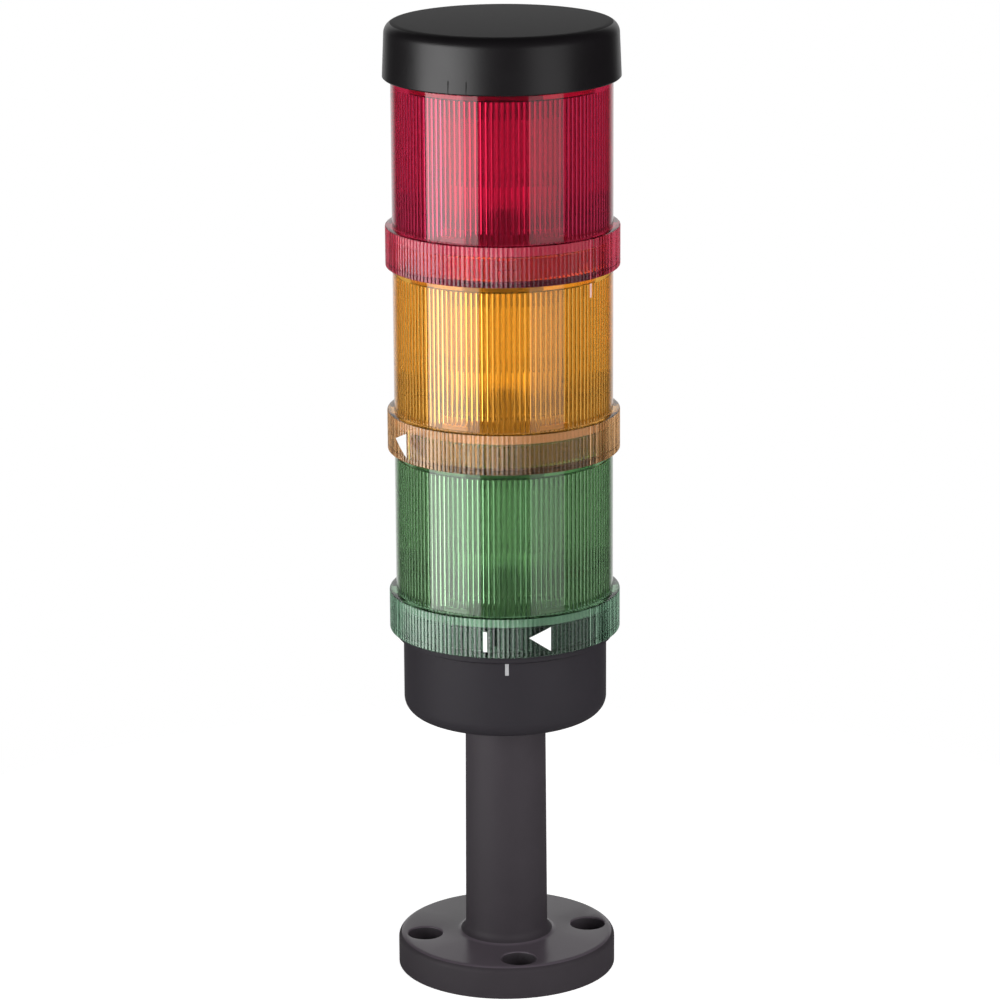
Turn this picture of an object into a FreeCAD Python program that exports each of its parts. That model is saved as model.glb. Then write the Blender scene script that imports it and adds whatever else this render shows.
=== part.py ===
import FreeCAD, Part
import math
import os
import re

import Sketcher
from FreeCAD import Placement, Rotation, Vector

# Signal tower of 70 mm class: a round foot moulded with its tube, a terminal housing,
# three colour modules stacked by quarter-pitch bayonets, and a cap.
# Millimetres. +Z is up the tube, the origin is the middle of the foot's underside and the
# front is -Y. The black parts and the modules are round about Z, so most outlines are
# (radius, height) pairs that are turned about it.

SIZES = [
    # foot and tube, one moulding
    ("foot_proud", 0.6, "foot, beyond the lens radius"),
    ("foot_thickness", 10.0, "foot, underside to top"),
    ("foot_edge_round", 2.1, "rounding of the foot's top edge"),
    ("tube_root_round", 3.0, "rounding where the tube meets the foot"),
    ("tube_radius", 12.25, "tube, at its upper end"),
    ("tube_draft", 0.4, "how much wider the tube is at the foot"),
    ("tube_length", 82.0, "foot underside to the housing underside"),
    ("tube_shoulder", 1.8, "width of the shoulder under the tube seal"),
    ("spigot_wall", 2.45, "wall of the threaded spigot above the tube"),
    ("entry_step", 1.5, "cable entry in the foot, wider than the tube's bore"),
    ("spigot_end", 1.5, "spigot above its nut"),
    # fixing holes of the foot
    ("screw_inset", 8.0, "fixing hole centres, in from the foot's edge"),
    ("screw_turn", 8.2, "degrees, first hole from the front"),
    ("screw_count", 4, "fixing holes"),
    ("screw_bore", 5.5, "diameter of a fixing hole"),
    ("sink_bore", 10.7, "diameter of its counterbore"),
    ("sink_depth", 6.0, "depth of its counterbore"),
    ("sink_edge_round", 0.4, "rounding of the counterbore's edge"),
    # gasket under the foot
    ("foot_seal_margin", 1.6, "gasket groove, in from the foot's edge"),
    ("foot_seal_width", 2.5, "gasket groove, radially"),
    ("foot_seal_depth", 1.5, "gasket groove, upwards"),
    ("seal_play", 0.1, "gasket to the walls of its groove"),
    # terminal housing
    ("housing_inset", 2.0, "housing wall, in from the lens radius"),
    ("housing_height", 27.0, "housing underside to the first ring"),
    ("housing_floor", 3.0, "floor of the housing"),
    ("collar_height", 1.7, "collar of the housing, under the first ring"),
    ("collar_slope", 1.0, "slope under the collar, upwards"),
    ("housing_round", 5.0, "rounding of the housing's lower edge"),
    ("boss_height", 3.0, "boss above the floor, under the nut"),
    ("boss_wall", 3.4, "boss, radially beyond the tube socket"),
    ("socket_play", 0.3, "tube to the walls of its socket, and spigot to its hole"),
    ("socket_depth", 3.0, "how far the tube enters the housing"),
    ("tube_seal_thickness", 1.0, "seal between tube shoulder and socket"),
    ("nut_wall", 3.0, "nut, from the thread to the middle of a flat"),
    ("nut_height", 6.0, "nut"),
    ("thread_play", 0.1, "nut to spigot"),
    # colour module: ring, lens, shoulder and neck in one moulding
    ("module_pitch", 56.2, "ring to ring up the stack"),
    ("lens_radius", 32.9, "outside of the lens"),
    ("lens_wall", 2.0, "lens wall at the bottom of a flute"),
    ("ring_proud", 2.1, "ring, beyond the lens"),
    ("ring_height", 12.1, "ring, edge to edge"),
    ("ring_bevel", 0.3, "bevel of the ring's edges"),
    ("flute_depth", 0.3, "optical flutes inside ring and lens"),
    ("flute_count", 120, "flutes round the bore"),
    ("shoulder_thickness", 2.0, "shoulder that closes the top of the lens"),
    ("seam", 0.3, "gap between a shoulder and the ring on it"),
    # bayonet between a neck and what stands on it
    ("neck_play", 0.9, "neck to the bore it stands in, where the seal sits"),
    ("neck_wall", 2.0, "wall of the neck"),
    ("neck_height", 7.9, "neck above the ring's lower edge"),
    ("lug_count", 4, "lugs inside a neck"),
    ("lug_angle", 10.0, "degrees, lug and hook alike"),
    ("lug_depth", 1.8, "lug, inwards from the neck"),
    ("lug_height", 3.0, "lug"),
    ("lug_drop", 0.7, "top of the neck to the top of a lug"),
    ("stop_angle", 2.5, "degrees, stop beside a lug"),
    ("stop_gap", 1.0, "degrees, between hook and stop when locked"),
    ("hook_height", 3.0, "hook"),
    ("hook_play", 0.3, "top of a hook to the lug over it"),
    ("bayonet_play", 0.4, "radial play of hooks and skirt"),
    ("skirt_wall", 1.8, "skirt that carries the hooks"),
    ("neck_seal_height", 1.6, "seal round the root of a neck"),
    ("neck_seal_play", 0.3, "seal to the ring bore"),
    ("neck_seal_grip", 0.05, "seal to the neck"),
    # carrier inside a module
    ("carrier_play", 0.2, "carrier to the lens bore"),
    ("disc_gap", 0.8, "top of a neck to the carrier disc"),
    ("disc_thickness", 2.0, "carrier disc"),
    ("rim_height", 1.1, "rim above the disc"),
    ("tab_wall", 1.2, "snap tab, radially"),
    ("tab_angle", 28.0, "degrees, tab from the front, left and right"),
    ("tab_sweep", 17.0, "degrees, width of a tab"),
    ("tab_end", 0.8, "tab above its nib"),
    ("nib_height", 1.2, "nib of a tab"),
    ("snap_play", 0.3, "play all round a snap"),
    ("catch_depth", 0.8, "catch, inwards from the flutes"),
    ("catch_height", 1.6, "catch in the lens"),
    # lamp and its holder
    ("lamp_base_radius", 7.5, "metal base of the lamp"),
    ("lamp_base_height", 14.0, "metal base of the lamp"),
    ("lamp_glass_radius", 9.5, "glass of the lamp"),
    ("lamp_glass_flare", 3.0, "height over which base widens to glass"),
    ("lamp_glass_round", 4.0, "rounding of the lamp's top"),
    ("lamp_head_room", 7.4, "lamp top to the next ring"),
    ("lamp_play", 0.3, "lamp base to its holder"),
    ("lamp_pin_radius", 0.9, "bayonet pin of the lamp"),
    ("lamp_pin_height", 9.0, "bayonet pin above the base's end"),
    ("holder_wall", 1.2, "shell of the lampholder"),
    ("holder_floor", 1.0, "floor of the lampholder"),
    ("holder_height", 14.0, "lampholder above the carrier disc"),
    ("holder_flange", 1.5, "flange on the disc, radially"),
    ("holder_plug_radius", 6.5, "plug through the disc"),
    ("holder_plug_play", 0.3, "plug to its hole"),
    ("holder_plug_height", 3.0, "plug below the flange"),
    ("slot_play", 0.4, "lamp pin to its slot"),
    ("slot_turn", 3.2, "entry of the slot, sideways from its seat"),
    # contact column, strips and pins
    ("strip_gap", 1.0, "lampholder flange to the strips"),
    ("strip_width", 2.4, "contact strip"),
    ("strip_thickness", 0.4, "contact strip"),
    ("pin_pitch", 4.0, "strip to strip, pin to pin"),
    ("pin_count", 5, "strips and pins of a module"),
    ("pin_setback", 1.5, "pin from the strip's end"),
    ("pin_radius", 0.8, "contact pin"),
    ("pin_hole_play", 0.2, "pin to its hole in the disc"),
    ("pin_gap", 0.3, "pin to the pad below it"),
    ("column_inset", 2.7, "back of the column, in from the skirt"),
    ("column_depth", 2.8, "column, front to back"),
    ("column_foot", 2.5, "foot at each side of the column"),
    ("plate_lip", 2.0, "plate in front of the pads"),
    ("plate_thickness", 2.0, "plate on top of the column"),
    ("plate_rise", 0.8, "plate above the ring's lower edge"),
    # terminal block
    ("block_lip", 5.5, "terminal block in front of the pads"),
    ("block_gap", 0.3, "spigot to the block over it"),
    ("terminal_setback", 3.0, "terminal screws in front of the pads"),
    ("terminal_screw_radius", 1.3, "head of a terminal screw"),
    ("terminal_screw_length", 6.0, "terminal screw"),
    ("terminal_screw_sink", 0.5, "head below the block's top"),
    ("terminal_bore_play", 0.2, "screw to its hole"),
    ("wire_bore_radius", 1.2, "wire entry in the block's front"),
    ("wire_bore_depth", 4.0, "wire entry"),
    ("wire_bore_drop", 9.5, "wire entry below the block's top"),
    # cap
    ("cap_proud", 2.4, "cap, beyond the lens radius"),
    ("cap_draft", 0.7, "how much narrower the cap is at its top"),
    ("cap_height", 16.6, "cap"),
    ("cap_wall", 2.5, "cap, top wall"),
    ("cap_bevel", 0.4, "bevel of the cap's lower edge"),
    ("cap_round", 3.5, "rounding of the cap's top edge"),
]

doc = FreeCAD.newDocument("stack_light")
sheet = doc.addObject("Spreadsheet::Sheet", "Sizes")
for row, (alias, value, note) in enumerate(SIZES, start=1):
    sheet.set(f"A{row}", note)
    sheet.set(f"B{row}", str(value))
    sheet.setAlias(f"B{row}", alias)
doc.recompute()

# Derived sizes, written as formulas of the sheet's aliases.
BORE = "(lens_radius - lens_wall - flute_depth)"
NECK_OUTER = f"({BORE} - neck_play)"
NECK_INNER = f"({NECK_OUTER} - neck_wall)"
LUG_INNER = f"({NECK_INNER} - lug_depth)"
SKIRT_OUTER = f"({LUG_INNER} - bayonet_play)"
SKIRT_INNER = f"({SKIRT_OUTER} - skirt_wall)"
HOOK_OUTER = f"({NECK_INNER} - bayonet_play)"
LUG_TOP = "(neck_height - lug_drop)"
LUG_BOTTOM = f"({LUG_TOP} - lug_height)"
HOOK_TOP = f"({LUG_BOTTOM} - hook_play)"
HOOK_BOTTOM = f"({HOOK_TOP} - hook_height)"
DISC_BOTTOM = "(neck_height + disc_gap)"
DISC_TOP = f"({DISC_BOTTOM} + disc_thickness)"
RIM_TOP = f"({DISC_TOP} + rim_height)"
CATCH_BOTTOM = f"({RIM_TOP} + snap_play)"
CATCH_TOP = f"({CATCH_BOTTOM} + catch_height)"
NIB_BOTTOM = f"({CATCH_TOP} + snap_play)"
NIB_TOP = f"({NIB_BOTTOM} + nib_height)"
TAB_TOP = f"({NIB_TOP} + tab_end)"
CARRIER_OUTER = f"({BORE} - carrier_play)"
CATCH_INNER = f"({BORE} - catch_depth)"
TAB_OUTER = f"({CATCH_INNER} - snap_play)"
TAB_INNER = f"({TAB_OUTER} - tab_wall)"
HOLDER_INNER = "(lamp_base_radius + lamp_play)"
HOLDER_OUTER = f"({HOLDER_INNER} + holder_wall)"
FLANGE_OUTER = f"({HOLDER_OUTER} + holder_flange)"
LAMP_BOTTOM = f"({DISC_TOP} + holder_floor + lamp_play)"
STRIP_FRONT = f"({FLANGE_OUTER} + strip_gap)"
PIN_ROW = f"({STRIP_FRONT} + pin_setback)"
COLUMN_BACK = f"({SKIRT_INNER} - column_inset)"
COLUMN_FRONT = f"({COLUMN_BACK} - column_depth)"
ROW_HALF = "((pin_count - 1) / 2 * pin_pitch)"
STRIPS_HALF = f"({ROW_HALF} + strip_width)"
PAD_TOP = "(plate_rise + strip_thickness)"
SPIGOT_OUTER = "(tube_radius - tube_shoulder)"
SPIGOT_BORE = f"({SPIGOT_OUTER} - spigot_wall)"
SOCKET_RADIUS = "(tube_radius + socket_play)"
BOSS_TOP = "(housing_floor + boss_height)"
SPIGOT_TOP = f"({BOSS_TOP} + nut_height + spigot_end)"
HOUSING_OUTER = "(lens_radius - housing_inset)"
FOOT_RADIUS = "(lens_radius + foot_proud)"
SEAL_GROOVE_OUTER = f"({FOOT_RADIUS} - foot_seal_margin)"
SEAL_GROOVE_INNER = f"({SEAL_GROOVE_OUTER} - foot_seal_width)"
CAP_OUTER = "(lens_radius + cap_proud)"

# Heights of the interfaces in the stack.
HOUSING_LEVEL = "tube_length"
GREEN_LEVEL = "(tube_length + housing_height)"
YELLOW_LEVEL = f"({GREEN_LEVEL} + module_pitch)"
RED_LEVEL = f"({YELLOW_LEVEL} + module_pitch)"
CAP_LEVEL = f"({RED_LEVEL} + module_pitch)"

ALIASES = {alias for alias, value, note in SIZES}
nodes = []


def formula(text):
    """Put the sheet's name before each alias in a formula."""
    for word in sorted(set(re.findall(r"[a-z_]+", text)) & ALIASES):
        text = re.sub(rf"\b{word}\b", f"Sizes.{word}", text)
    return text


def bind(thing, path, text):
    thing.setExpression(path, formula(text))


def origin_of(body, role):
    return next(f for f in body.Origin.OriginFeatures if f.Role == role)


def node(thing, label):
    """Give an object the label that names its file, and keep it for export."""
    thing.Label = label
    nodes.append(thing)
    return thing


def new_body(name, level="0", several=False):
    body = doc.addObject("PartDesign::Body", name)
    body.AllowCompound = several
    bind(body, "Placement.Base.z", level)
    return body


def outline(body, name, role, points, turn=None, rise=None):
    """Closed sketch of straight sides; every corner is a pair of formulas.

    turn swings an upright sketch about Z, rise lifts a flat one.
    """
    sketch = body.newObject("Sketcher::SketchObject", name)
    sketch.AttachmentSupport = [(origin_of(body, role), "")]
    sketch.MapMode = "FlatFace"
    count = len(points)
    rough = [Vector(10 + 5 * math.cos(math.tau * i / count), 10 + 5 * math.sin(math.tau * i / count), 0)
             for i in range(count)]
    sketch.addGeometry([Part.LineSegment(rough[i], rough[(i + 1) % count]) for i in range(count)], False)
    for i in range(count):
        sketch.addConstraint(Sketcher.Constraint("Coincident", i, 2, (i + 1) % count, 1))
    for i, corner in enumerate(points):
        for kind, text, start in zip(("DistanceX", "DistanceY"), corner, rough[i]):
            index = sketch.addConstraint(Sketcher.Constraint(kind, -1, 1, i, 1, start))
            bind(sketch, f"Constraints[{index}]", text)
    if turn:
        sketch.AttachmentOffset = Placement(Vector(), Rotation(Vector(0, 1, 0), 1))
        bind(sketch, "AttachmentOffset.Rotation.Angle", turn)
    if rise:
        bind(sketch, "AttachmentOffset.Base.z", rise)
    return sketch


def circle(body, name, role, centre, radius, rise=None):
    """Sketch of one circle; its centre and radius are formulas."""
    sketch = body.newObject("Sketcher::SketchObject", name)
    sketch.AttachmentSupport = [(origin_of(body, role), "")]
    sketch.MapMode = "FlatFace"
    sketch.addGeometry(Part.Circle(Vector(10, 10, 0), Vector(0, 0, 1), 1), False)
    for kind, text in zip(("DistanceX", "DistanceY"), centre):
        index = sketch.addConstraint(Sketcher.Constraint(kind, -1, 1, 0, 3, 10))
        bind(sketch, f"Constraints[{index}]", text)
    index = sketch.addConstraint(Sketcher.Constraint("Radius", 0, 1))
    bind(sketch, f"Constraints[{index}]", radius)
    if rise:
        bind(sketch, "AttachmentOffset.Base.z", rise)
    return sketch


def box_outline(low_x, high_x, low_y, high_y):
    return [(low_x, low_y), (high_x, low_y), (high_x, high_y), (low_x, high_y)]


def turned(body, name, points, sweep=None, turn=None):
    """Turn an outline about Z: all the way, or over a sweep centred on its own plane."""
    sketch = outline(body, name + "_outline", "XZ_Plane", points, turn)
    feature = body.newObject("PartDesign::Revolution", name)
    feature.Profile = sketch
    feature.ReferenceAxis = (sketch, ["V_Axis"])
    feature.Angle = 360
    if sweep:
        feature.Midplane = True
        bind(feature, "Angle", sweep)
    body.Tip = feature
    doc.recompute()
    return feature


def padded(body, name, sketch, length, centred=False):
    feature = body.newObject("PartDesign::Pad", name)
    feature.Profile = sketch
    feature.Midplane = centred
    bind(feature, "Length", length)
    body.Tip = feature
    doc.recompute()
    return feature


def pocketed(body, name, sketch, length, backwards=False, centred=False):
    """Cut a sketch into the body, and make sure that the cut met the solid."""
    before = body.Shape.Volume
    feature = body.newObject("PartDesign::Pocket", name)
    feature.Profile = sketch
    feature.Reversed = backwards
    feature.Midplane = centred
    bind(feature, "Length", length)
    body.Tip = feature
    doc.recompute()
    if not body.Shape.Volume < before:
        raise RuntimeError(f"{name} cuts nothing")
    return feature


def around(body, name, features, count):
    """Repeat features round Z."""
    feature = body.newObject("PartDesign::PolarPattern", name)
    feature.Originals = features
    feature.Axis = (origin_of(body, "Z_Axis"), [""])
    feature.Angle = 360
    bind(feature, "Occurrences", count)
    body.Tip = feature
    doc.recompute()
    return feature


def in_row(body, name, feature_list):
    """Repeat features along X, one for each contact."""
    feature = body.newObject("PartDesign::LinearPattern", name)
    feature.Originals = feature_list
    feature.Direction = (origin_of(body, "X_Axis"), [""])
    bind(feature, "Length", "(pin_count - 1) * pin_pitch")
    bind(feature, "Occurrences", "pin_count")
    body.Tip = feature
    doc.recompute()
    return feature


def rounded(body, name, radius, picks):
    """Round the circular edges that lie at the picked (radius, height) pairs."""
    base = body.Tip
    found = []
    for number, edge in enumerate(base.Shape.Edges, start=1):
        if not isinstance(edge.Curve, Part.Circle):
            continue
        for pick_radius, pick_height in picks:
            near = abs(edge.Curve.Radius - pick_radius) + abs(edge.Curve.Center.z - pick_height)
            if near < 1e-3:
                found.append(f"Edge{number}")
    feature = body.newObject("PartDesign::Fillet", name)
    feature.Base = (base, found)
    bind(feature, "Radius", radius)
    body.Tip = feature
    doc.recompute()
    return feature


def cast(master, label, level):
    """Another casting of a master piece, at its own height in the stack."""
    body = new_body(label, level)
    clone = doc.addObject("PartDesign::FeatureBase", label + "_cast")
    clone.BaseFeature = master
    body.Group = [clone]
    body.Tip = clone
    return node(body, label)


def size(alias):
    return sheet.get(alias)


# The bayonet: lugs inside a neck, each with a stop beside it, and hooks on a skirt that
# pass under the lugs. A piece locks by turning clockwise seen from above.

def add_lugs(body, level):
    lug = turned(body, "lug", box_outline(
        LUG_INNER, f"{NECK_OUTER} - neck_wall / 2", f"{level} + {LUG_BOTTOM}", f"{level} + {LUG_TOP}"),
        sweep="lug_angle")
    stop = turned(body, "lug_stop", box_outline(
        LUG_INNER, f"{NECK_OUTER} - neck_wall / 2", f"{level} + {HOOK_BOTTOM}", f"{level} + {LUG_TOP}"),
        sweep="stop_angle", turn="0 - lug_angle / 2 - stop_gap - stop_angle / 2")
    around(body, "lugs", [lug, stop], "lug_count")


def add_hooks(body):
    hook = turned(body, "hook", box_outline(
        f"{SKIRT_OUTER} - skirt_wall / 2", HOOK_OUTER, HOOK_BOTTOM, HOOK_TOP), sweep="lug_angle")
    around(body, "hooks", [hook], "lug_count")


def neck_points(level, inner_floor):
    """Outline of a neck from its shoulder up, over and down to inner_floor."""
    return [
        (NECK_OUTER, f"{level} - seam"),
        (NECK_OUTER, f"{level} + neck_height"),
        (NECK_INNER, f"{level} + neck_height"),
        (NECK_INNER, inner_floor),
    ]


# Foot and tube: one black moulding. The cable enters under the foot and runs up the bore,
# and the spigot above the shoulder takes the nut that holds the housing.

foot = node(new_body("foot_with_tube"), "foot_with_tube")
turned(foot, "foot_and_tube", [
    (SPIGOT_BORE, "foot_thickness"),
    (f"{SPIGOT_BORE} + entry_step", "foot_thickness"),
    (f"{SPIGOT_BORE} + entry_step", "0"),
    (SEAL_GROOVE_INNER, "0"),
    (SEAL_GROOVE_INNER, "foot_seal_depth"),
    (SEAL_GROOVE_OUTER, "foot_seal_depth"),
    (SEAL_GROOVE_OUTER, "0"),
    (FOOT_RADIUS, "0"),
    (FOOT_RADIUS, "foot_thickness"),
    ("tube_radius + tube_draft", "foot_thickness"),
    ("tube_radius", "tube_length + socket_depth - tube_seal_thickness"),
    (SPIGOT_OUTER, "tube_length + socket_depth - tube_seal_thickness"),
    (SPIGOT_OUTER, f"tube_length + {SPIGOT_TOP}"),
    (SPIGOT_BORE, f"tube_length + {SPIGOT_TOP}"),
])
rounded(foot, "foot_edge", "foot_edge_round",
        [(size("lens_radius") + size("foot_proud"), size("foot_thickness"))])
rounded(foot, "tube_root", "tube_root_round",
        [(size("tube_radius") + size("tube_draft"), size("foot_thickness"))])
screw_circle_radius = f"({FOOT_RADIUS} - screw_inset)"
screw_place = (f"{screw_circle_radius} * sin(screw_turn)", f"0 - {screw_circle_radius} * cos(screw_turn)")
screw_hole = pocketed(foot, "screw_hole", circle(
    foot, "screw_circle", "XY_Plane", screw_place, "screw_bore / 2", rise="foot_thickness"), "foot_thickness")
screw_sink = pocketed(foot, "screw_sink", circle(
    foot, "sink_circle", "XY_Plane", screw_place, "sink_bore / 2", rise="foot_thickness"), "sink_depth")
around(foot, "screw_holes", [screw_hole, screw_sink], "screw_count")
rounded(foot, "sink_edges", "sink_edge_round", [(size("sink_bore") / 2, size("foot_thickness"))])

# Foot gasket: a flat ring, flush with the underside in its groove.

foot_seal = node(new_body("foot_seal"), "foot_seal")
turned(foot_seal, "gasket", box_outline(
    f"{SEAL_GROOVE_INNER} + seal_play", f"{SEAL_GROOVE_OUTER} - seal_play", "0", "foot_seal_depth"))

# Tube seal: a flat ring between the tube's shoulder and the roof of the housing's socket.

tube_seal = node(new_body("tube_seal", HOUSING_LEVEL), "tube_seal")
turned(tube_seal, "ring", box_outline(
    f"{SPIGOT_OUTER} + seal_play", "tube_radius", "socket_depth - tube_seal_thickness", "socket_depth"))

# Tube nut: clamps the housing's floor down on the tube seal.

tube_nut = node(new_body("tube_nut", HOUSING_LEVEL), "tube_nut")
nut_corner = f"({SPIGOT_OUTER} + nut_wall) / cos(30)"
hexagon = [(f"{nut_corner} * cos({60 * i})", f"{nut_corner} * sin({60 * i})") for i in range(6)]
padded(tube_nut, "nut_blank", outline(
    tube_nut, "nut_hexagon", "XY_Plane", hexagon, rise=BOSS_TOP), "nut_height")
pocketed(tube_nut, "nut_bore", circle(
    tube_nut, "nut_circle", "XY_Plane", ("0", "0"), f"{SPIGOT_OUTER} + thread_play",
    rise=f"{BOSS_TOP} + nut_height"), "nut_height")

# Terminal housing: a black cup with the tube's socket in its floor, a collar that meets the
# first ring, and a neck with lugs.

housing = node(new_body("terminal_housing", HOUSING_LEVEL), "terminal_housing")
turned(housing, "cup", [
    (SOCKET_RADIUS, "0"),
    (HOUSING_OUTER, "0"),
    (HOUSING_OUTER, "housing_height - seam - collar_height - collar_slope"),
    ("lens_radius", "housing_height - seam - collar_height"),
    ("lens_radius", "housing_height - seam"),
    *neck_points("housing_height", "housing_floor"),
    (f"{SOCKET_RADIUS} + boss_wall", "housing_floor"),
    (f"{SOCKET_RADIUS} + boss_wall", BOSS_TOP),
    (f"{SPIGOT_OUTER} + socket_play", BOSS_TOP),
    (f"{SPIGOT_OUTER} + socket_play", "socket_depth"),
    (SOCKET_RADIUS, "socket_depth"),
])
rounded(housing, "lower_edge", "housing_round", [(size("lens_radius") - size("housing_inset"), 0)])
add_lugs(housing, "housing_height")


# Contact column: a grey moulding that carries the strips up the back of a module. Its plate
# offers them to the pins of the module above. base and top are heights from the ring below.

def contact_column(body, base, top, front, under):
    """Side outline of column and plate, pushed out to both sides of the middle."""
    side = [
        (front, under),
        (COLUMN_FRONT, under),
        (COLUMN_FRONT, base),
        (COLUMN_BACK, base),
        (COLUMN_BACK, top),
        (front, top),
    ]
    padded(body, "column", outline(body, "column_side", "YZ_Plane", side),
           f"2 * ({STRIPS_HALF} + column_foot)", centred=True)
    notch = box_outline(f"0 - {STRIPS_HALF}", STRIPS_HALF, base, f"{base} + strip_thickness")
    pocketed(body, "strip_notch", outline(body, "notch_outline", "XZ_Plane", notch), f"2 * {COLUMN_BACK}")


# Contact strips: brass, bent round the foot, back and top of the column.

def contact_strips(body, base, top, foot_front):
    strip = [
        (foot_front, base),
        (f"{COLUMN_BACK} + strip_thickness", base),
        (f"{COLUMN_BACK} + strip_thickness", f"{top} + strip_thickness"),
        (STRIP_FRONT, f"{top} + strip_thickness"),
        (STRIP_FRONT, top),
        (COLUMN_BACK, top),
        (COLUMN_BACK, f"{base} + strip_thickness"),
        (foot_front, f"{base} + strip_thickness"),
    ]
    sketch = outline(body, "strip_outline", "YZ_Plane", strip, rise=f"0 - {ROW_HALF}")
    in_row(body, "strips", [padded(body, "strip", sketch, "strip_width", centred=True)])


# Terminal block: column and block in one, over the tube nut, with a wire entry and a clamp
# screw in front of each strip.

block = node(new_body("terminal_block", HOUSING_LEVEL), "terminal_block")
BLOCK_TOP = "(housing_height + plate_rise)"
BLOCK_FRONT = f"({STRIP_FRONT} - block_lip)"
contact_column(block, "housing_floor", BLOCK_TOP, BLOCK_FRONT, f"{SPIGOT_TOP} + block_gap")
screw_row = f"{STRIP_FRONT} - terminal_setback"
screw_well = pocketed(block, "screw_well", circle(
    block, "well_circle", "XY_Plane", (f"0 - {ROW_HALF}", screw_row),
    "terminal_screw_radius + terminal_bore_play", rise=BLOCK_TOP),
    "terminal_screw_sink + terminal_screw_length + terminal_bore_play")
wire_entry = pocketed(block, "wire_entry", circle(
    block, "wire_circle", "XZ_Plane", (f"0 - {ROW_HALF}", f"{BLOCK_TOP} - wire_bore_drop"),
    "wire_bore_radius", rise=f"0 - {BLOCK_FRONT}"), "wire_bore_depth")
in_row(block, "wells_and_entries", [screw_well, wire_entry])

terminal_screws = node(new_body("terminal_screws", HOUSING_LEVEL, several=True), "terminal_screws")
terminal_screw = padded(terminal_screws, "screw", circle(
    terminal_screws, "screw_circle", "XY_Plane", (f"0 - {ROW_HALF}", screw_row), "terminal_screw_radius",
    rise=f"{BLOCK_TOP} - terminal_screw_sink - terminal_screw_length"), "terminal_screw_length")
in_row(terminal_screws, "screws", [terminal_screw])

terminal_strips = node(new_body("terminal_strips", HOUSING_LEVEL, several=True), "terminal_strips")
contact_strips(terminal_strips, "housing_floor", BLOCK_TOP, COLUMN_FRONT)

# Module moulding: ring, lens, shoulder and neck in one clear-coloured piece. The flutes
# inside spread the lamp's light, and four catches hold the carrier.

blank = new_body("module_blank")
MODULE_ROOF = "(module_pitch - seam - shoulder_thickness)"
turned(blank, "ring_lens_and_neck", [
    ("0", "0"),
    ("lens_radius + ring_proud - ring_bevel", "0"),
    ("lens_radius + ring_proud", "ring_bevel"),
    ("lens_radius + ring_proud", "ring_height - ring_bevel"),
    ("lens_radius + ring_proud - ring_bevel", "ring_height"),
    ("lens_radius", "ring_height"),
    ("lens_radius", "module_pitch - seam"),
    *neck_points("module_pitch", MODULE_ROOF),
    ("0", MODULE_ROOF),
])
add_lugs(blank, "module_pitch")

# The fluted core that leaves the bore: a star-shaped prism whose points are the flutes.

bore_radius = size("lens_radius") - size("lens_wall") - size("flute_depth")
star = []
for i in range(int(size("flute_count"))):
    for step, radius in ((0, bore_radius + size("flute_depth")), (0.5, bore_radius)):
        angle = math.tau * (i + step) / size("flute_count")
        star.append(Vector(radius * math.cos(angle), radius * math.sin(angle), 0))
core = doc.addObject("Part::Feature", "module_core")
core.Shape = Part.Face(Part.makePolygon(star + star[:1])).extrude(
    Vector(0, 0, size("module_pitch") - size("seam") - size("shoulder_thickness")))
fluted = doc.addObject("Part::Cut", "module_fluted")
fluted.Base = blank
fluted.Tool = core
fluted.Refine = False

catches = new_body("module_catches", several=True)
catch_pair = [
    turned(catches, f"catch_{side}", box_outline(
        CATCH_INNER, "lens_radius - lens_wall / 2", CATCH_BOTTOM, CATCH_TOP), sweep="tab_sweep", turn=place)
    for side, place in (("right", "0 - 90 + tab_angle"), ("left", "0 - 90 - tab_angle"))
]
around(catches, "catches", catch_pair, "2")
module_lens = doc.addObject("Part::Fuse", "module_lens")
module_lens.Base = fluted
module_lens.Tool = catches
module_lens.Refine = False

# Carrier: a grey disc that snaps into the module. Its rim carries four tabs with nibs over
# the catches, its skirt carries the hooks.

carrier = new_body("module_carrier")
turned(carrier, "disc_rim_and_skirt", [
    ("holder_plug_radius + holder_plug_play", DISC_BOTTOM),
    (SKIRT_INNER, DISC_BOTTOM),
    (SKIRT_INNER, HOOK_BOTTOM),
    (SKIRT_OUTER, HOOK_BOTTOM),
    (SKIRT_OUTER, DISC_BOTTOM),
    (CARRIER_OUTER, DISC_BOTTOM),
    (CARRIER_OUTER, RIM_TOP),
    (TAB_INNER, RIM_TOP),
    (TAB_INNER, DISC_TOP),
    ("holder_plug_radius + holder_plug_play", DISC_TOP),
])
add_hooks(carrier)
tab_points = [
    (TAB_INNER, f"{RIM_TOP} - rim_height / 2"),
    (TAB_OUTER, f"{RIM_TOP} - rim_height / 2"),
    (TAB_OUTER, NIB_BOTTOM),
    (CARRIER_OUTER, NIB_BOTTOM),
    (TAB_OUTER, NIB_TOP),
    (TAB_OUTER, TAB_TOP),
    (TAB_INNER, TAB_TOP),
]
tab_pair = [
    turned(carrier, f"tab_{side}", tab_points, sweep="tab_sweep", turn=place)
    for side, place in (("right", "0 - 90 + tab_angle"), ("left", "0 - 90 - tab_angle"))
]
around(carrier, "tabs", tab_pair, "2")
pin_hole = pocketed(carrier, "pin_hole", circle(
    carrier, "pin_hole_circle", "XY_Plane", (f"0 - {ROW_HALF}", PIN_ROW), "pin_radius + pin_hole_play",
    rise=DISC_TOP), "disc_thickness")
in_row(carrier, "pin_holes", [pin_hole])

# Lampholder: a shell on a flange, plugged through the disc, with two hooked slots.

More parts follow.
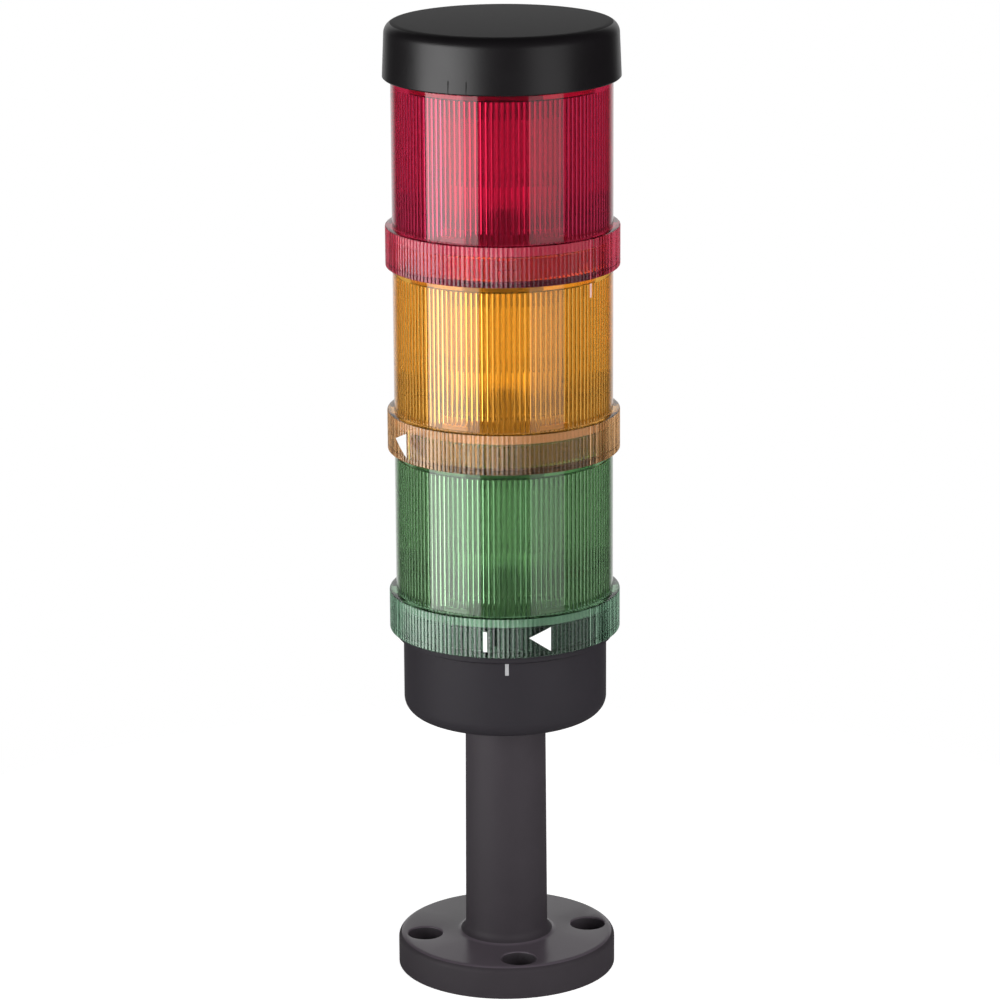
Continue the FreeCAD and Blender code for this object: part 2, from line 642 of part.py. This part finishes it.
holder = new_body("module_lampholder")
turned(holder, "shell", [
    ("0", f"{DISC_TOP} - holder_plug_height"),
    ("holder_plug_radius", f"{DISC_TOP} - holder_plug_height"),
    ("holder_plug_radius", DISC_TOP),
    (FLANGE_OUTER, DISC_TOP),
    (FLANGE_OUTER, f"{DISC_TOP} + holder_floor"),
    (HOLDER_OUTER, f"{DISC_TOP} + holder_floor"),
    (HOLDER_OUTER, f"{DISC_TOP} + holder_height"),
    (HOLDER_INNER, f"{DISC_TOP} + holder_height"),
    (HOLDER_INNER, f"{DISC_TOP} + holder_floor"),
    ("0", f"{DISC_TOP} + holder_floor"),
])
slot_half = "(lamp_pin_radius + slot_play)"
seat_bottom = f"({LAMP_BOTTOM} + lamp_pin_height - {slot_half})"
seat_top = f"({LAMP_BOTTOM} + lamp_pin_height + {slot_half})"
slot_points = [
    (slot_half, seat_bottom),
    (slot_half, seat_top),
    (f"{slot_half} - slot_turn", seat_top),
    (f"{slot_half} - slot_turn", f"{DISC_TOP} + holder_height + slot_play"),
    (f"0 - {slot_half} - slot_turn", f"{DISC_TOP} + holder_height + slot_play"),
    (f"0 - {slot_half} - slot_turn", seat_bottom),
]
slot = pocketed(holder, "slot", outline(holder, "slot_outline", "YZ_Plane", slot_points),
                f"{HOLDER_OUTER} + slot_play", backwards=True)
around(holder, "slots", [slot], "2")

# Lamp: metal base with two pins and a frosted glass, sealed for life.

lamp = new_body("module_lamp")
glass_foot = f"{LAMP_BOTTOM} + lamp_base_height"
turned(lamp, "base_and_glass", [
    ("0", LAMP_BOTTOM),
    ("lamp_base_radius", LAMP_BOTTOM),
    ("lamp_base_radius", glass_foot),
    ("lamp_glass_radius", f"{glass_foot} + lamp_glass_flare"),
    ("lamp_glass_radius", "module_pitch - lamp_head_room - lamp_glass_round"),
    ("lamp_glass_radius - lamp_glass_round", "module_pitch - lamp_head_room"),
    ("0", "module_pitch - lamp_head_room"),
])
padded(lamp, "pins", circle(
    lamp, "pin_circle", "YZ_Plane", ("0", f"{LAMP_BOTTOM} + lamp_pin_height"), "lamp_pin_radius"),
    f"2 * {HOLDER_OUTER}", centred=True)

# Column, strips and pins of a module.

column = new_body("module_contact_column")
contact_column(column, DISC_TOP, "module_pitch + plate_rise", f"{STRIP_FRONT} - plate_lip",
               "module_pitch + plate_rise - plate_thickness")
strips = new_body("module_contact_strips", several=True)
contact_strips(strips, DISC_TOP, "module_pitch + plate_rise", STRIP_FRONT)
pins = new_body("module_contact_pins", several=True)
pin = padded(pins, "pin", circle(
    pins, "pin_circle", "XY_Plane", (f"0 - {ROW_HALF}", PIN_ROW), "pin_radius", rise=f"{PAD_TOP} + pin_gap"),
    f"{DISC_TOP} - {PAD_TOP} - pin_gap")
in_row(pins, "pins", [pin])

# Neck seal: a rubber ring on a shoulder, round the root of the neck.

neck_seal = new_body("neck_seal")
turned(neck_seal, "ring", box_outline(
    f"{NECK_OUTER} + neck_seal_grip", f"{BORE} - neck_seal_play", "0 - seam", "neck_seal_height - seam"))

# The stack: each module is one casting of every master piece, at its own height.

MODULE_PIECES = [
    (module_lens, "lens", "0"),
    (carrier, "carrier", "0"),
    (holder, "lampholder", "0"),
    (lamp, "lamp", "0"),
    (column, "contact_column", "0"),
    (strips, "contact_strips", "0"),
    (pins, "contact_pins", "0"),
    (neck_seal, "neck_seal", "module_pitch"),
]
cast(neck_seal, "terminal_neck_seal", GREEN_LEVEL)
for colour, level in (("green", GREEN_LEVEL), ("yellow", YELLOW_LEVEL), ("red", RED_LEVEL)):
    for master, piece, lift in MODULE_PIECES:
        cast(master, f"{colour}_{piece}", f"{level} + {lift}")

# Cap: a black shell with its own skirt and hooks.

cap = node(new_body("cap", CAP_LEVEL), "cap")
turned(cap, "shell", [
    (BORE, "0"),
    (f"{CAP_OUTER} - cap_bevel", "0"),
    (CAP_OUTER, "cap_bevel"),
    (f"{CAP_OUTER} - cap_draft", "cap_height"),
    ("0", "cap_height"),
    ("0", "cap_height - cap_wall"),
    (SKIRT_INNER, "cap_height - cap_wall"),
    (SKIRT_INNER, HOOK_BOTTOM),
    (SKIRT_OUTER, HOOK_BOTTOM),
    (SKIRT_OUTER, "cap_height - cap_wall"),
    (BORE, "cap_height - cap_wall"),
])
rounded(cap, "top_edge", "cap_round",
        [(size("lens_radius") + size("cap_proud") - size("cap_draft"), size("cap_height"))])
add_hooks(cap)

doc.recompute()
for thing in doc.Objects:
    if {"Invalid", "Error"} & set(thing.State):
        raise RuntimeError(f"{thing.Label} failed: {thing.State}")
for piece in nodes:
    if piece.Shape.isNull() or not piece.Shape.isValid():
        raise RuntimeError(f"{piece.Label} has no valid shape")

os.makedirs("parts", exist_ok=True)
for piece in nodes:
    piece.Shape.exportStep(f"parts/{piece.Label}.step")
print(f"{len(nodes)} pieces written")
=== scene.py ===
import math

import bmesh
import bpy
from mathutils import Matrix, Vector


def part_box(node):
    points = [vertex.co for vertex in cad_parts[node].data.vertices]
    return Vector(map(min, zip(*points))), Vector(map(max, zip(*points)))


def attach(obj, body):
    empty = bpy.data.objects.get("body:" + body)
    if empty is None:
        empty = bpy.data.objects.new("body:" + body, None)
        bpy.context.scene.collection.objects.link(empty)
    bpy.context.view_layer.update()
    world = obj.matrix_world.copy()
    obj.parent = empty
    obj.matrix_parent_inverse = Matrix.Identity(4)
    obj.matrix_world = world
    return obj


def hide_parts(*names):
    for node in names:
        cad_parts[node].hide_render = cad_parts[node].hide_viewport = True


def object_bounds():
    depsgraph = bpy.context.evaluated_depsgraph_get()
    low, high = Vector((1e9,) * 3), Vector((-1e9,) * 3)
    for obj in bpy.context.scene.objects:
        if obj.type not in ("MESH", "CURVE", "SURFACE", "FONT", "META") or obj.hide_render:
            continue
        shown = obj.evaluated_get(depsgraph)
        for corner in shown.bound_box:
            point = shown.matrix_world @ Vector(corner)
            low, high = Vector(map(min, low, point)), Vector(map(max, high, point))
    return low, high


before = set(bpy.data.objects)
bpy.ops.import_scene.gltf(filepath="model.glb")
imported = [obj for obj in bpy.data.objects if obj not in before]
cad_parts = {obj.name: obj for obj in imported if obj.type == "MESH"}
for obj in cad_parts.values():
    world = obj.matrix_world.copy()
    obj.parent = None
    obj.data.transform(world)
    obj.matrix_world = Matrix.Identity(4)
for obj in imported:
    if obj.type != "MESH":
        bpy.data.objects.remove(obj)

# Signal tower: black foot and tube, terminal housing, three clear modules and a cap.
# Metres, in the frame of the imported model: +Z up the tube, front at -Y.

cad_low, cad_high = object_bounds()
mm = 0.001

# Camera: a long lens, a little above the tower's top, looking down at it.

camera_data = bpy.data.cameras.new("camera")
camera_data.lens = 148.56
camera_data.sensor_width = 36
camera_data.clip_end = 20
camera = bpy.data.objects.new("camera", camera_data)
camera.location = (-1.28 * mm, -1203.0 * mm, 481.2 * mm)
looking_down = 0.270
roll = -0.006
camera.rotation_euler = (Matrix.Rotation(math.pi / 2 - looking_down, 3, "X")
                         @ Matrix.Rotation(roll, 3, "Z")).to_euler()
bpy.context.scene.collection.objects.link(camera)
bpy.context.scene.camera = camera


# Light: soft boxes before the tower, brighter to the left, with an even fill from the right that
# leaves no reflection, and a surround that is bright behind the tower only.

def soft_box(name, azimuth, width, radiance, height=1.3, distance=1.25, centre=0.0):
    """Area lamp that faces the tower. azimuth is in degrees from the front, plus to the right."""
    data = bpy.data.lights.new(name, "AREA")
    data.shape = "RECTANGLE"
    data.size = width
    data.size_y = height
    data.energy = radiance * math.pi * width * height
    lamp = bpy.data.objects.new(name, data)
    turn = math.radians(azimuth)
    lamp.location = (distance * math.sin(turn), -distance * math.cos(turn), centre)
    lamp.rotation_euler = (math.pi / 2, 0, turn)
    bpy.context.scene.collection.objects.link(lamp)
    return lamp


soft_box("left_soft_box", azimuth=-55, width=1.44, radiance=2.4)
soft_box("inner_left_soft_box", azimuth=-62, width=1.01, radiance=1.4)
soft_box("right_soft_box", azimuth=46, width=0.86, radiance=0.9)
fill = soft_box("right_fill", azimuth=48, width=1.6, radiance=2.2, height=1.7, centre=0.4)
fill.visible_glossy = False
fill.visible_transmission = False

world = bpy.data.worlds.new("surround")
world.use_nodes = True
bpy.context.scene.world = world
surround = world.node_tree
surround.nodes.clear()
output = surround.nodes.new("ShaderNodeOutputWorld")
seen = surround.nodes.new("ShaderNodeBackground")
lighting = surround.nodes.new("ShaderNodeBackground")
either = surround.nodes.new("ShaderNodeMixShader")
path = surround.nodes.new("ShaderNodeLightPath")
direct = surround.nodes.new("ShaderNodeMath")
direct.operation = "MAXIMUM"
surround.links.new(path.outputs["Is Camera Ray"], direct.inputs[0])
surround.links.new(path.outputs["Is Transmission Ray"], direct.inputs[1])
seen.inputs["Strength"].default_value = 1.0
seen.inputs["Color"].default_value = (1, 1, 1, 1)
direction = surround.nodes.new("ShaderNodeTexCoord")
split = surround.nodes.new("ShaderNodeSeparateXYZ")
behind = surround.nodes.new("ShaderNodeMapRange")
behind.interpolation_type = "SMOOTHSTEP"
behind.inputs["From Min"].default_value = 0.78
behind.inputs["From Max"].default_value = 0.95
behind.inputs["To Min"].default_value = 0.04
behind.inputs["To Max"].default_value = 1.0
surround.links.new(direction.outputs["Generated"], split.inputs[0])
surround.links.new(split.outputs["Y"], behind.inputs["Value"])
surround.links.new(behind.outputs["Result"], lighting.inputs["Strength"])
surround.links.new(direct.outputs[0], either.inputs["Fac"])
surround.links.new(lighting.outputs[0], either.inputs[1])
surround.links.new(seen.outputs[0], either.inputs[2])
surround.links.new(either.outputs[0], output.inputs["Surface"])
bpy.context.scene.view_settings.view_transform = "Standard"

# Floor: a plain white disc, half a metre across, for the tower's own soft shadow.

floor_radius = 0.25
floor_mesh = bmesh.new()
bmesh.ops.create_circle(floor_mesh, cap_ends=True, segments=96, radius=floor_radius)
floor_data = bpy.data.meshes.new("floor")
floor_mesh.to_mesh(floor_data)
floor_mesh.free()
floor = bpy.data.objects.new("floor", floor_data)
floor.location.z = cad_low.z - 0.2 * mm
bpy.context.scene.collection.objects.link(floor)
floor_paint = bpy.data.materials.new("floor_paint")
floor_paint.use_nodes = True
floor_nodes = floor_paint.node_tree.nodes
floor_shader = floor_nodes["Principled BSDF"]
floor_shader.inputs["Base Color"].default_value = (0.75, 0.75, 0.75, 1)
floor_shader.inputs["Roughness"].default_value = 0.9
floor_shader.inputs["Specular IOR Level"].default_value = 0
floor_glow = floor_nodes.new("ShaderNodeLightPath")
floor_shader.inputs["Emission Color"].default_value = (1, 1, 1, 1)
floor_strength = floor_nodes.new("ShaderNodeMath")
floor_strength.operation = "MULTIPLY"
floor_strength.inputs[1].default_value = 0.88
floor_paint.node_tree.links.new(floor_glow.outputs["Is Camera Ray"], floor_strength.inputs[0])
floor_paint.node_tree.links.new(floor_strength.outputs[0], floor_shader.inputs["Emission Strength"])
floor_data.materials.append(floor_paint)


# Foot and tube: one matt black moulding with a fine spark-eroded grain.

def moulded_plastic(name, colour, roughness, grain, grain_size, mottle=0.15, specular=0.5, top=None):
    """Opaque moulded plastic: fine grain in the surface, slight unevenness of tone and gloss.

    top is the height of a level upper face, its own roughness, and how many times paler it is painted than
    the rest, a painted light from above.
    """
    material = bpy.data.materials.new(name)
    material.use_nodes = True
    nodes, links = material.node_tree.nodes, material.node_tree.links
    shader = nodes["Principled BSDF"]
    shader.inputs["Specular IOR Level"].default_value = specular
    place = nodes.new("ShaderNodeTexCoord")
    cloud = nodes.new("ShaderNodeTexNoise")
    cloud.inputs["Scale"].default_value = 90
    cloud.inputs["Detail"].default_value = 4
    links.new(place.outputs["Object"], cloud.inputs["Vector"])
    tone = nodes.new("ShaderNodeMix")
    tone.data_type = "RGBA"
    tone.inputs["A"].default_value = (*[c * (1 - mottle) for c in colour], 1)
    tone.inputs["B"].default_value = (*[c * (1 + mottle) for c in colour], 1)
    links.new(cloud.outputs["Fac"], tone.inputs["Factor"])
    links.new(tone.outputs["Result"], shader.inputs["Base Color"])
    gloss = nodes.new("ShaderNodeMapRange")
    gloss.inputs["To Min"].default_value = roughness - 0.05
    gloss.inputs["To Max"].default_value = roughness + 0.05
    links.new(cloud.outputs["Fac"], gloss.inputs["Value"])
    links.new(gloss.outputs["Result"], shader.inputs["Roughness"])
    if top:
        top_height, top_roughness, top_painted_light = top
        split = nodes.new("ShaderNodeSeparateXYZ")
        links.new(place.outputs["Object"], split.inputs[0])
        level = nodes.new("ShaderNodeMath")
        level.operation = "COMPARE"
        level.inputs[1].default_value = top_height
        level.inputs[2].default_value = 0.4 * mm
        links.new(split.outputs["Z"], level.inputs[0])
        face = nodes.new("ShaderNodeMix")
        links.new(level.outputs[0], face.inputs["Factor"])
        links.new(gloss.outputs["Result"], face.inputs["A"])
        face.inputs["B"].default_value = top_roughness
        links.new(face.outputs["Result"], shader.inputs["Roughness"])
        # Painted light: the level top face is painted paler than the rest, standing for light falling on it
        # from above.
        painted_top_light = nodes.new("ShaderNodeMix")
        painted_top_light.data_type = "RGBA"
        links.new(level.outputs[0], painted_top_light.inputs["Factor"])
        links.new(tone.outputs["Result"], painted_top_light.inputs["A"])
        painted_top_light.inputs["B"].default_value = (*[c * top_painted_light for c in colour], 1)
        links.new(painted_top_light.outputs["Result"], shader.inputs["Base Color"])
    pits = nodes.new("ShaderNodeTexNoise")
    pits.inputs["Scale"].default_value = 1 / grain_size
    pits.inputs["Detail"].default_value = 2
    links.new(place.outputs["Object"], pits.inputs["Vector"])
    bump = nodes.new("ShaderNodeBump")
    bump.inputs["Strength"].default_value = grain
    bump.inputs["Distance"].default_value = 0.05 * mm
    links.new(pits.outputs["Fac"], bump.inputs["Height"])
    links.new(bump.outputs["Normal"], shader.inputs["Normal"])
    return material


def dress(node, material, smooth=32):
    """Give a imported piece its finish; weld its loose triangles and smooth all but real edges."""
    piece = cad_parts[node]
    piece.data.materials.clear()
    piece.data.materials.append(material)
    piece.data.shade_smooth()
    weld = piece.modifiers.new("weld", "WELD")
    weld.merge_threshold = 0.002 * mm
    crease = piece.modifiers.new("crease", "EDGE_SPLIT")
    crease.split_angle = math.radians(smooth)
    return piece


foot_height = 10 * mm
# The foot's level top face is painted three times paler: painted light from above.
foot_black = moulded_plastic("foot_black", (0.041, 0.034, 0.041), 0.65, 0.35, 0.35 * mm,
                             specular=0.4, top=(foot_height, 0.26, 3))
dress("foot_with_tube", foot_black)

# Rubber: foot gasket, tube seal and the seal round each neck.

rubber = moulded_plastic("rubber", (0.02, 0.02, 0.02), 0.7, 0.2, 0.5 * mm)
for seal in ("foot_seal", "tube_seal", "terminal_neck_seal",
             "green_neck_seal", "yellow_neck_seal", "red_neck_seal"):
    dress(seal, rubber)

# Terminal housing and nut: matt black mouldings. The cap is a little glossier.

housing_black = moulded_plastic("housing_black", (0.026, 0.023, 0.028), 0.6, 0.12, 0.3 * mm, specular=0.2)
dress("terminal_housing", housing_black)
dress("tube_nut", housing_black)
cap_black = moulded_plastic("cap_black", (0.006, 0.005, 0.006), 0.36, 0.1, 0.3 * mm,
                            top=(cad_high.z, 0.58, 1))
dress("cap", cap_black)

# Grey inner mouldings: carriers, contact columns and the terminal block.

inner_grey = moulded_plastic("inner_grey", (0.70, 0.70, 0.68), 0.5, 0.1, 0.5 * mm)
dress("terminal_block", inner_grey)
for colour in ("green", "yellow", "red"):
    dress(f"{colour}_carrier", inner_grey)
    dress(f"{colour}_contact_column", inner_grey)


# Metal: contact strips and pins in brass, plated lampholders and clamp screws.

def drawn_metal(name, colour, roughness):
    """Drawn or stamped metal: streaks along its length in tone and gloss."""
    material = bpy.data.materials.new(name)
    material.use_nodes = True
    nodes, links = material.node_tree.nodes, material.node_tree.links
    shader = nodes["Principled BSDF"]
    shader.inputs["Metallic"].default_value = 1
    place = nodes.new("ShaderNodeTexCoord")
    stretch = nodes.new("ShaderNodeMapping")
    stretch.inputs["Scale"].default_value = (1, 1, 0.08)
    streak = nodes.new("ShaderNodeTexNoise")
    streak.inputs["Scale"].default_value = 1500
    links.new(place.outputs["Object"], stretch.inputs["Vector"])
    links.new(stretch.outputs["Vector"], streak.inputs["Vector"])
    tone = nodes.new("ShaderNodeMix")
    tone.data_type = "RGBA"
    tone.inputs["A"].default_value = (*[c * 0.85 for c in colour], 1)
    tone.inputs["B"].default_value = (*colour, 1)
    links.new(streak.outputs["Fac"], tone.inputs["Factor"])
    links.new(tone.outputs["Result"], shader.inputs["Base Color"])
    gloss = nodes.new("ShaderNodeMapRange")
    gloss.inputs["To Min"].default_value = roughness
    gloss.inputs["To Max"].default_value = roughness + 0.15
    links.new(streak.outputs["Fac"], gloss.inputs["Value"])
    links.new(gloss.outputs["Result"], shader.inputs["Roughness"])
    return material


brass = drawn_metal("brass", (0.8, 0.6, 0.3), 0.25)
plated = drawn_metal("plated", (0.7, 0.7, 0.68), 0.25)
dress("terminal_strips", brass)
dress("terminal_screws", plated)
for colour in ("green", "yellow", "red"):
    dress(f"{colour}_contact_strips", brass)
    dress(f"{colour}_contact_pins", brass)
    dress(f"{colour}_lampholder", plated)

# Lamps: frosted white glass over a plated base; the whole of each lamp is given the frosted white finish.

lamp_white = moulded_plastic("lamp_white", (0.8, 0.8, 0.78), 0.3, 0.03, 0.5 * mm, mottle=0.04)
for colour in ("green", "yellow", "red"):
    dress(f"{colour}_lamp", lamp_white)

# Modules: each is one clear moulding of polycarbonate, turned as a closed wall. Fine upright
# grip ribs run round its ring, and fine flutes up the inside of ring and lens.

points_per_flute = 6
lens_flutes = 128
lens_flute_depth = 0.36 * mm
ring_flutes = 137
ring_flute_depth = 0.2 * mm
ring_ribs = 150
rib_depth = -0.2 * mm
green_low, green_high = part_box("green_lens")
ring_radius = green_high.x
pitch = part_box("yellow_lens")[0].z - green_low.z
neck_top = green_high.z - green_low.z
ring_height = 12.1 * mm
ring_edge = 0.3 * mm
lens_radius = 32.9 * mm
bore = 30.6 * mm
seam = 0.3 * mm
roof = pitch - 2.3 * mm
neck_outer = 29.7 * mm
neck_inner = 27.7 * mm
lug_low, lug_high = pitch + 4.2 * mm, pitch + 7.2 * mm
stop_low = pitch + 0.9 * mm
lug_reach = 25.9 * mm
catch_top = 13.7 * mm
catch_reach = 29.8 * mm


def flute(verts, radius, height, flutes=0, depth=0.0):
    """Put a ring of points at a radius and height, with a groove at each flute.

    A depth above zero cuts the groove outwards into a bore, and one below zero inwards.
    """
    for vert in verts:
        turn = math.atan2(vert.co.y, vert.co.x)
        reach = radius + depth * (1 - abs(math.sin(flutes * turn / 2)))
        vert.co = (math.cos(turn) * reach, math.sin(turn) * reach, height)


def wall(shape, loop, rows, flutes=0, depth=0.0):
    """Carry a loop of edges along rows of (radius, height)."""
    for radius, height in rows:
        grown = bmesh.ops.extrude_edge_only(shape, edges=loop)["geom"]
        flute([part for part in grown if isinstance(part, bmesh.types.BMVert)], radius, height, flutes, depth)
        loop = [part for part in grown if isinstance(part, bmesh.types.BMEdge) and not part.is_manifold]
    return loop


def swell(shape, low, high, radius, places, width, reach):
    """Push faces of the wall at a radius inwards, in a band of heights and near some angles."""
    picked = []
    for face in shape.faces:
        middle = face.calc_center_median()
        turn = math.degrees(math.atan2(middle.y, middle.x))
        near = min(abs((turn - place + 180) % 360 - 180) for place in places)
        on_wall = abs(middle.xy.length - radius) < 0.6 * mm
        if low < middle.z < high and on_wall and near < width / 2:
            picked.append(face)
    grown = bmesh.ops.extrude_face_region(shape, geom=picked)["geom"]
    bmesh.ops.delete(shape, geom=picked, context="FACES_KEEP_BOUNDARY")
    for vert in [part for part in grown if isinstance(part, bmesh.types.BMVert)]:
        scale = reach / vert.co.xy.length
        vert.co = (vert.co.x * scale, vert.co.y * scale, vert.co.z)


shape = bmesh.new()
bmesh.ops.create_circle(shape, segments=ring_ribs * points_per_flute, radius=bore + ring_edge)
ring_start = shape.edges[:]
ring_loop = wall(shape, ring_start, [
    (ring_radius - ring_edge, 0),
    (ring_radius - 0.3 * ring_edge, 0.3 * ring_edge),
    (ring_radius, ring_edge),
    (ring_radius, ring_height - ring_edge),
    (ring_radius - 0.3 * ring_edge, ring_height - 0.3 * ring_edge),
    (ring_radius - ring_edge, ring_height)], ring_ribs, rib_depth)
ring_end = wall(shape, ring_loop, [(lens_radius + ring_edge, ring_height)])
lens_foot = bmesh.ops.create_circle(shape, segments=lens_flutes * points_per_flute, radius=lens_radius)
lens_verts = lens_foot["verts"]
flute(lens_verts, lens_radius, ring_height)
lens_start = list({edge for vert in lens_verts for edge in vert.link_edges})
shoulder = pitch - seam
lens_loop = wall(shape, lens_start, [
    (lens_radius, shoulder - ring_edge),
    (lens_radius - 0.3 * ring_edge, shoulder - 0.3 * ring_edge),
    (lens_radius - ring_edge, shoulder),
    (neck_outer, shoulder),
    (neck_outer, neck_top),
    (neck_inner, neck_top),
    (neck_inner, lug_high),
    (neck_inner, lug_low),
    (neck_inner, stop_low),
    (neck_inner, roof)])
lens_loop = wall(shape, lens_loop, [(bore, roof), (bore, catch_top), (bore, ring_height)],
                 lens_flutes, lens_flute_depth)
lens_end = wall(shape, lens_loop, [(bore, ring_height - ring_edge), (bore, 0)],
                ring_flutes, ring_flute_depth)
bmesh.ops.bridge_loops(shape, edges=ring_end + lens_start)
bmesh.ops.bridge_loops(shape, edges=lens_end + ring_start)
lugs = [0, 90, 180, 270]
# Widths and the gap from lug to stop are in degrees.
lug_width, stop_width, catch_width = 10, 2.5, 17
stop_gap = 1
stops = [place - (lug_width + stop_width) / 2 - stop_gap for place in lugs]
catches = [62, 118, 242, 298]
swell(shape, lug_low, lug_high, neck_inner, lugs, lug_width, lug_reach)
swell(shape, stop_low, lug_high, neck_inner, stops, stop_width, lug_reach)
swell(shape, ring_height, catch_top, bore, catches, catch_width, catch_reach)
bmesh.ops.recalc_face_normals(shape, faces=shape.faces)


def clear_plastic(name, level, lens_tint, ring_tint, depth_colour, density):
    """Clear coloured moulding: coloured in its depth, and more strongly on the walls of the lens."""
    material = bpy.data.materials.new(name)
    material.use_nodes = True
    nodes, links = material.node_tree.nodes, material.node_tree.links
    shader = nodes["Principled BSDF"]
    shader.inputs["Roughness"].default_value = 0.04
    shader.inputs["IOR"].default_value = 1.58
    shader.inputs["Transmission Weight"].default_value = 1
    place = nodes.new("ShaderNodeTexCoord")
    split = nodes.new("ShaderNodeSeparateXYZ")
    links.new(place.outputs["Object"], split.inputs[0])
    above = nodes.new("ShaderNodeMath")
    above.operation = "GREATER_THAN"
    above.inputs[1].default_value = level + ring_height - 0.001 * mm
    links.new(split.outputs["Z"], above.inputs[0])
    tint = nodes.new("ShaderNodeMix")
    tint.data_type = "RGBA"
    tint.inputs["A"].default_value = (*ring_tint, 1)
    tint.inputs["B"].default_value = (*lens_tint, 1)
    links.new(above.outputs[0], tint.inputs["Factor"])
    links.new(tint.outputs["Result"], shader.inputs["Base Color"])
    absorb = nodes.new("ShaderNodeVolumeAbsorption")
    absorb.inputs["Color"].default_value = (*depth_colour, 1)
    absorb.inputs["Density"].default_value = density
    links.new(absorb.outputs[0], nodes["Material Output"].inputs["Volume"])
    return material


for colour, lens_tint, ring_tint, depth_colour, density in (
        ("green", (0.33, 0.51, 0.30), (0.56, 0.76, 0.62), (0.018, 0.342, 0.142), 52),
        ("yellow", (0.95, 0.59, 0.15), (0.97, 0.68, 0.47), (0.768, 0.521, 0.022), 60),
        ("red", (0.67, 0.08, 0.20), (0.97, 0.38, 0.48), (0.826, 0.059, 0.284), 128)):
    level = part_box(f"{colour}_lens")[0].z
    mesh = bpy.data.meshes.new(f"{colour}_moulding")
    shape.to_mesh(mesh)
    mesh.transform(Matrix.Translation((0, 0, level)))
    mesh.shade_smooth()
    clear = clear_plastic(f"{colour}_clear", level, lens_tint, ring_tint, depth_colour, density)
    mesh.materials.append(clear)
    piece = bpy.data.objects.new(f"{colour}_moulding", mesh)
    crease = piece.modifiers.new("crease", "EDGE_SPLIT")
    crease.split_angle = math.radians(35)
    even = piece.modifiers.new("even", "WEIGHTED_NORMAL")
    even.keep_sharp = True
    even.weight = 100
    bpy.context.scene.collection.objects.link(piece)
    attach(piece, f"{colour}_module")
    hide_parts(f"{colour}_lens")
shape.free()

# Marks: printed arrows and bars that tell a locked module from a free one. Two thin dark bars at
# the cap's edge are painted shade, standing for the shade in the lines engraved there.

mark_white = moulded_plastic("mark_white", (1.0, 1.0, 1.0), 0.5, 0.05, 0.3 * mm, mottle=0.02)
mark_grey = moulded_plastic("mark_grey", (0.42, 0.42, 0.43), 0.5, 0.05, 0.3 * mm, mottle=0.03)
mark_pink = moulded_plastic("mark_pink", (0.80, 0.52, 0.48), 0.4, 0.05, 0.3 * mm, mottle=0.03)
mark_yellow = moulded_plastic("mark_yellow", (0.95, 0.70, 0.22), 0.4, 0.05, 0.3 * mm, mottle=0.03)
# Painted shade: dark bars for the shade inside the cap's engraved lines.
engraving_painted_shade = moulded_plastic("engraving_painted_shade", (0.003, 0.003, 0.003), 0.8, 0.05, 0.3 * mm)


def mark(name, rides, corners, radius, angle, height, material):
    """Printed mark: a flat outline in (across, up) millimetres, wrapped on the wall at an angle."""
    outline = bmesh.new()
    bmesh.ops.create_circle(outline, cap_ends=True, segments=len(corners), radius=1)
    outline.verts.ensure_lookup_table()
    for vert, (across, up) in zip(outline.verts, corners):
        vert.co = (across * mm, 0, up * mm)
    bmesh.ops.triangulate(outline, faces=outline.faces)
    for step in range(-20, 21):
        bmesh.ops.bisect_plane(outline, geom=outline.verts[:] + outline.edges[:] + outline.faces[:],
                               plane_co=(step * 0.4 * mm, 0, 0), plane_no=(1, 0, 0))
    bmesh.ops.recalc_face_normals(outline, faces=outline.faces)
    bmesh.ops.solidify(outline, geom=outline.faces, thickness=0.04 * mm)
    for vert in outline.verts:
        turn = math.radians(angle) + vert.co.x / radius
        reach = radius + 0.01 * mm + abs(vert.co.y)
        vert.co = (math.sin(turn) * reach, -math.cos(turn) * reach, vert.co.z + height)
    bmesh.ops.recalc_face_normals(outline, faces=outline.faces)
    mesh = bpy.data.meshes.new(name)
    outline.to_mesh(mesh)
    outline.free()
    mesh.materials.append(material)
    piece = bpy.data.objects.new(name, mesh)
    bpy.context.scene.collection.objects.link(piece)
    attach(piece, rides)
    return piece


def bar(wide, high):
    """Outline of an upright bar."""
    return [(-wide / 2, -high / 2), (wide / 2, -high / 2), (wide / 2, high / 2), (-wide / 2, high / 2)]


housing_radius = 30.9 * mm
green_level = green_low.z
yellow_level = green_level + pitch
cap_low, cap_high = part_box("cap")
arrow = [(-3.4, 0.6), (3.4, -4.1), (3.4, 3.4)]
mark("green_bar", "green_module", bar(1.2, 6.2), ring_radius, -9.8, green_level + 5.1 * mm, mark_white)
mark("green_arrow", "green_module", arrow, ring_radius, 17.3, green_level + 5.6 * mm, mark_white)
mark("yellow_arrow", "yellow_module", arrow, ring_radius, -61.2, yellow_level + 5.6 * mm, mark_white)
mark("yellow_line", "yellow_module", bar(0.5, 9.0), ring_radius, -53.4, yellow_level + 6.0 * mm, mark_yellow)
mark("yellow_bar", "yellow_module", bar(0.9, 4.2), lens_radius, 51.3, yellow_level + 52.3 * mm, mark_pink)
mark("housing_bar", "root", bar(1.1, 3.7), housing_radius, 0.9, green_level - 4.7 * mm, mark_grey)
# The cap lines are painted shade for the engraved grooves, not print.
for name, angle in (("cap_line_left", -26.1), ("cap_line_right", -17.0)):
    mark(name, "cap_body", bar(0.25, 3.6), cap_high.x - 0.06 * mm, angle, cap_low.z + 2.2 * mm, engraving_painted_shade)
